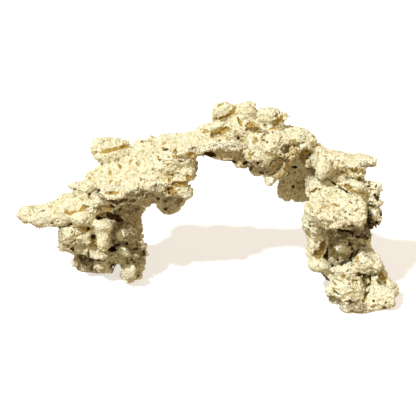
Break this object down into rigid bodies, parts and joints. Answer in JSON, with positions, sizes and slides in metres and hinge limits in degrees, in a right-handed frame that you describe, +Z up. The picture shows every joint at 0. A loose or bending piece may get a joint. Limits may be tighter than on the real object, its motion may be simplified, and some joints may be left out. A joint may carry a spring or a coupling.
{
  "type": "dry reef rock",
  "caption": "Open arch of cream, porous dry reef rocks bonded end to end, for an aquascape: a stepped left leg, a slab bridge with a knobbly crown, and a hollowed right leg.",
  "frame": {"origin": "middle of the arch's box in plan, at the height of the soles", "axes": "+X along the arch from the left leg to the right leg, +Z up; the side with the pitted front block and the shoulder faces -Y"},
  "size_m": [0.4654, 0.138, 0.2332],
  "materials": {
    "reef_stone": "rough, matt and porous, cream with ochre in the recesses and grey on broken edges"
  },
  "bodies": {
    "root": {"toe_rock": "reef_stone", "front_block": "reef_stone", "left_leg_rock": "reef_stone", "deck_rock": "reef_stone", "cap_stone": "reef_stone", "bridge_slab": "reef_stone", "crown_rock": "reef_stone", "span_rock": "reef_stone", "back_rock": "reef_stone", "shelf_rock": "reef_stone", "shoulder_rock": "reef_stone", "knob_rock": "reef_stone", "right_leg_rock": "reef_stone", "foot_rock": "reef_stone"}
  },
  "joints": []
}
